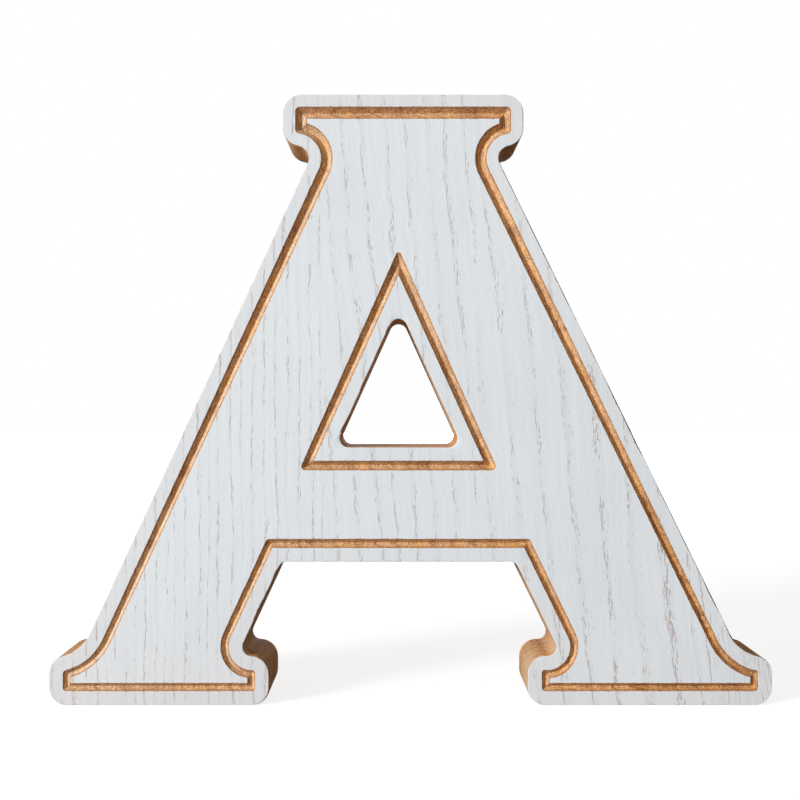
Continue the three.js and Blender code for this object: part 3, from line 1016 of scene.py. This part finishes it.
def white_floor():
    """A pale floor that takes the letter's shadow, and comes up to white to the camera where it is lit."""
    finish = Finish("white_floor")
    tree = finish.tree
    seen = seen_directly(tree)
    finish.put(finish.shader.inputs["Base Color"], finish.mix(seen, FLOOR_DULL, FLOOR_GREY))
    finish.shader.inputs["Roughness"].default_value = FLOOR_ROUGHNESS
    finish.shader.inputs["Specular IOR Level"].default_value = 0.0
    place = finish.node("ShaderNodeTexCoord", {}).outputs["Object"]
    away = finish.node("ShaderNodeVectorMath", {0: place}, operation="LENGTH").outputs["Value"]
    strength = finish.math("MULTIPLY", seen, finish.mapped(away, *FLOOR_FADE, *FLOOR_GLOW))
    glow = finish.node("ShaderNodeEmission", {"Color": WHITE, "Strength": strength})
    both = finish.node("ShaderNodeAddShader", {0: finish.shader.outputs[0], 1: glow.outputs[0]})
    tree.links.new(both.outputs[0], tree.nodes["Material Output"].inputs["Surface"])
    mesh = bpy.data.meshes.new("floor")
    half = FLOOR_SIZE / 2
    corners = [(-half, -half, 0), (half, -half, 0), (half, half, 0), (-half, half, 0)]
    mesh.from_pydata(corners, [], [(0, 1, 2, 3)])
    mesh.materials.append(finish.material)
    floor = bpy.data.objects.new("floor", mesh)
    bpy.context.scene.collection.objects.link(floor)


def soft_world():
    """White to the camera, and to the letter a low even light, less of it from behind."""
    world = bpy.data.worlds.new("studio")
    bpy.context.scene.world = world
    world.use_nodes = True
    tree = world.node_tree
    backdrop = tree.nodes["Background"]
    seen = seen_directly(tree)
    tint = tree.nodes.new("ShaderNodeMix")
    tint.data_type = "RGBA"
    tree.links.new(seen, tint.inputs[0])
    tint.inputs[6].default_value = AMBIENT_COLOUR
    tint.inputs[7].default_value = WHITE
    tree.links.new(tint.outputs[2], backdrop.inputs["Color"])
    way = tree.nodes.new("ShaderNodeSeparateXYZ")
    tree.links.new(tree.nodes.new("ShaderNodeTexCoord").outputs["Generated"], way.inputs[0])
    even = tree.nodes.new("ShaderNodeMapRange")
    tree.links.new(way.outputs["Y"], even.inputs["Value"])
    for name, value in zip(("From Min", "From Max", "To Min", "To Max"), (*AMBIENT_SPAN, *AMBIENT)):
        even.inputs[name].default_value = value
    strength = tree.nodes.new("ShaderNodeMath")
    strength.operation = "MAXIMUM"
    tree.links.new(seen, strength.inputs[0])
    tree.links.new(even.outputs["Result"], strength.inputs[1])
    tree.links.new(strength.outputs[0], backdrop.inputs["Strength"])


def soft_lamp(name, way, power):
    """A square soft lamp that looks at the letter's middle from a direction."""
    lamp = bpy.data.lights.new(name, "AREA")
    lamp.shape = "SQUARE"
    lamp.size = LAMP_SIZE
    lamp.energy = power
    holder = bpy.data.objects.new(name, lamp)
    bpy.context.scene.collection.objects.link(holder)
    middle = Vector((0, FACE, (BASE_LINE + CAP_LINE) / 2))
    way = Vector(way).normalized()
    holder.location = middle + way * LAMP_DISTANCE
    holder.rotation_euler = way.to_track_quat("Z", "Y").to_euler()


# The photograph's view
EYE = Vector((-4.1 * MM, FACE - 420 * MM, 101.6 * MM))
LENS = 57.75                   # gives the photograph's scale on the face
SENSOR = 36.0
SHIFT = 0.0025, -0.00625       # of the frame, as shares of its width
NEAREST = 0.01


def camera():
    """A level camera straight in front of the face."""
    lens = bpy.data.cameras.new("camera")
    lens.lens = LENS
    lens.sensor_width = SENSOR
    lens.shift_x, lens.shift_y = SHIFT
    lens.clip_start = NEAREST
    holder = bpy.data.objects.new("camera", lens)
    bpy.context.scene.collection.objects.link(holder)
    holder.location = EYE
    holder.rotation_euler = (np.pi / 2, 0, 0)
    bpy.context.scene.camera = holder


white_floor()
soft_world()
soft_lamp("key", KEY_WAY, KEY_POWER)
soft_lamp("rear", REAR_WAY, REAR_POWER)
camera()
bpy.context.scene.view_settings.view_transform = "Standard"
